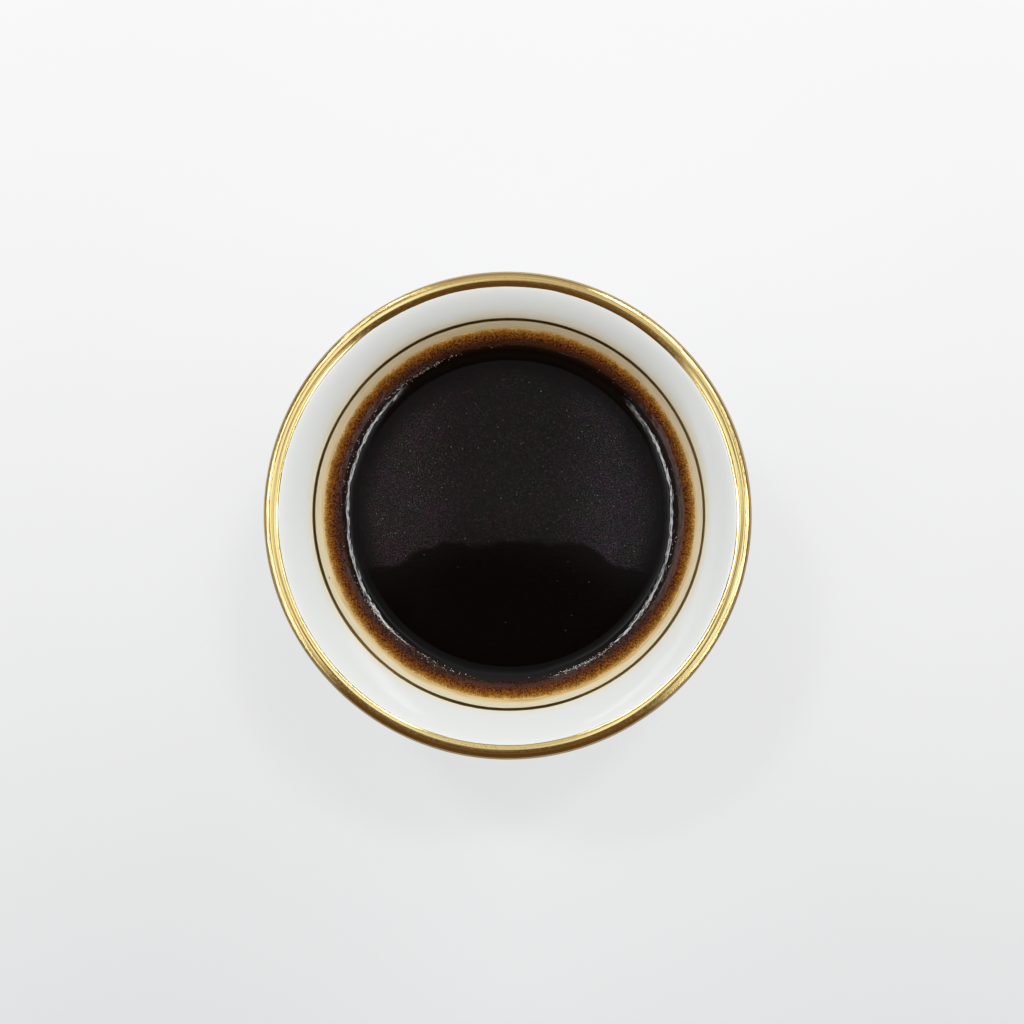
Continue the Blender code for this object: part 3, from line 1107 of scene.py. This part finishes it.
def make_residue(material):
    """Dried specks of coffee on the wall, between the drink and the gilt line and just over it."""
    draw = random.Random(RESIDUE_SEED)
    spots = [LARGEST_RESIDUE]
    for level, spread, least, greatest, count in RESIDUE_BANDS:
        for _ in range(count):
            angle = draw.uniform(0, math.tau)
            spots.append((angle, draw.gauss(level, spread), draw.uniform(least, greatest)))
    places = [(*wall_place(angle, level), size, 0.25) for angle, level, size in spots]
    residue = domes("wall_residue", places, material, rings=3, sides=8)
    return residue


# Studio

def make_floor(material):
    """The table under the cup."""
    bpy.ops.mesh.primitive_plane_add(size=TABLE_SIZE)
    floor = bpy.context.object
    floor.name = "table_top"
    floor.data.materials.append(material)


def make_camera():
    """A camera over the cup, with the far side at the top of the picture."""
    data = bpy.data.cameras.new("camera")
    camera = bpy.data.objects.new("camera", data)
    bpy.context.scene.collection.objects.link(camera)
    forward = (CAMERA_AIM - CAMERA_PLACE).normalized()
    right = forward.cross(Vector((0, 1, 0))).normalized()
    upward = right.cross(forward)
    turn = Matrix((right, upward, -forward)).transposed().to_4x4()
    camera.matrix_world = Matrix.Translation(CAMERA_PLACE * MM) @ turn
    distance = (CAMERA_PLACE - CAMERA_AIM).length
    data.sensor_width = SENSOR_WIDTH
    data.lens = SENSOR_WIDTH * distance / FRAME_WIDTH
    data.clip_start = NEAREST_SEEN
    bpy.context.scene.camera = camera


def soft_light(name, azimuth, zenith_angle, share, half_width, half_height):
    """A soft oval light towards a direction, in degrees, that brightens what faces it by a share."""
    azimuth, tilt = math.radians(azimuth), math.radians(zenith_angle)
    aside = math.sin(tilt)
    direction = Vector((aside * math.cos(azimuth), aside * math.sin(azimuth), math.cos(tilt)))
    data = bpy.data.lights.new(name, "AREA")
    data.shape = "ELLIPSE"
    data.size = 2 * LAMP_DISTANCE * math.tan(math.radians(half_width))
    data.size_y = 2 * LAMP_DISTANCE * math.tan(math.radians(half_height))
    data.energy = share * math.pi**2 * LAMP_DISTANCE**2
    light = bpy.data.objects.new(name, data)
    bpy.context.scene.collection.objects.link(light)
    light.location = direction * LAMP_DISTANCE
    light.rotation_euler = direction.to_track_quat("Z", "Y").to_euler()
    light.visible_glossy = False


def make_lights():
    """Two small high lamps that draw the soft double shadow, and a low wide one on the near side."""
    for name, settings in LAMPS.items():
        soft_light(name, *settings)


def light_strips(sky, x, y, zenith_angle, sideways):
    """The glow of the strips of light along both walls, which come lower towards their ends."""
    on_right = sky.remap(x, -0.01, 0.01)

    def by_wall(pair):
        return sky.remap(on_right, 0.0, 1.0, *pair, smooth=False)

    fall = sky.times(sky.minus(1.0, sideways), sky.remap(y, -0.1, 0.1, *STRIP_FALLS))
    away = sky.size_of(sky.minus(zenith_angle, sky.add(by_wall(STRIP_ANGLES), fall)))
    along = sky.calc("DIVIDE", y, sky.calc("MAXIMUM", sky.size_of(x), 0.001))
    past_end = sky.minus(along, by_wall(STRIP_NEAR_ENDS))
    half_width = sky.times(
        sky.remap(along, *STRIP_FAR_PART, STRIP_HALF_WIDTH, STRIP_HALF_WIDTH_FAR),
        sky.remap(past_end, 0.0, 0.6, 0.45, 1.0),
    )
    strip = sky.times(
        sky.remap(away, half_width, sky.add(half_width, STRIP_SOFT_EDGE), 1.0, 0.0),
        sky.remap(past_end, -0.15, 0.5),
        sky.remap(along, *STRIP_FAR_END, 1.0, 0.0),
    )
    far_glow = by_wall([STRIP_GLOW * gain for gain in STRIP_FAR_GAINS])
    return sky.times(strip, sky.remap(along, *STRIP_FAR_PART, STRIP_GLOW, far_glow))


def lit_part(sky, x, y, z):
    """1 over the lit part of the room and 0 over its near side, with an edge softer lower down."""
    edge_x, edge_y = NEAR_EDGE_PLACE
    aside = sky.calc("POWER", sky.add(x, -edge_x), 2.0)
    bend = sky.minus(sky.calc("SQRT", sky.add(aside, NEAR_EDGE_TIP**2)), NEAR_EDGE_TIP)
    bent = sky.times(bend, sky.remap(x, -0.05, 0.05, *NEAR_EDGE_BENDS))
    past_edge = sky.add(y, -edge_y, bent)
    softness = sky.add(0.004, sky.times(sky.minus(1.0, z), 0.22))
    return sky.remap(sky.calc("DIVIDE", past_edge, softness), -1.0, 1.0)


def make_world():
    """A pale room with bright walls at the sides, a dim ceiling and an unlit near side."""
    world = bpy.data.worlds.new("room")
    world.use_nodes = True
    sky = Nodes(world.node_tree)
    coordinates = sky.tree.nodes.new("ShaderNodeTexCoord")
    x, y, z = sky.split(coordinates.outputs["Generated"])
    zenith_angle = sky.times(sky.calc("ARCCOSINE", z), 180 / math.pi)
    sideways = sky.size_of(sky.calc("COSINE", sky.calc("ARCTAN2", y, x)))
    room = sky.mix(
        sky.remap(sideways, 0.25, 0.75),
        sky.ramp(zenith_angle, BACK_WALL_STOPS),
        sky.ramp(zenith_angle, SIDE_WALL_STOPS),
    )
    bright = sky.brightened(room, light_strips(sky, x, y, zenith_angle, sideways))
    near_side = sky.ramp(zenith_angle, NEAR_SIDE_STOPS)
    background = sky.tree.nodes["Background"]
    sky.put(background.inputs["Color"], sky.mix(lit_part(sky, x, y, z), near_side, bright))
    background.inputs["Strength"].default_value = 1.0
    bpy.context.scene.world = world


def set_film():
    """A plain view of the light, with a soft shoulder in the highlights."""
    view = bpy.context.scene.view_settings
    view.view_transform = "Standard"
    view.use_curve_mapping = True
    mapping = view.curve_mapping
    brightest = FILM_CURVE[-1][0]
    mapping.white_level = (brightest, brightest, brightest)
    all_channels = mapping.curves[3]
    while len(all_channels.points) < len(FILM_CURVE):
        all_channels.points.new(0.5, 0.5)
    for point, (light, picture) in zip(all_channels.points, FILM_CURVE):
        point.location = (light / brightest, picture)
    mapping.update()


def main():
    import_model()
    gold = gold_material()
    pieces = [
        make_cup(porcelain_material()),
        make_gilt_rim(gold),
        make_gilt_line(gold),
        make_coffee(coffee_material()),
        make_foam(foam_material()),
        *make_bubbles(bubble_material(), glint_bubble_material()),
        make_specks(speck_highlight_material()),
        make_residue(residue_material()),
    ]
    for piece in pieces:
        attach(piece, BODY)
    make_floor(table_material())
    make_camera()
    make_lights()
    make_world()
    set_film()


main()
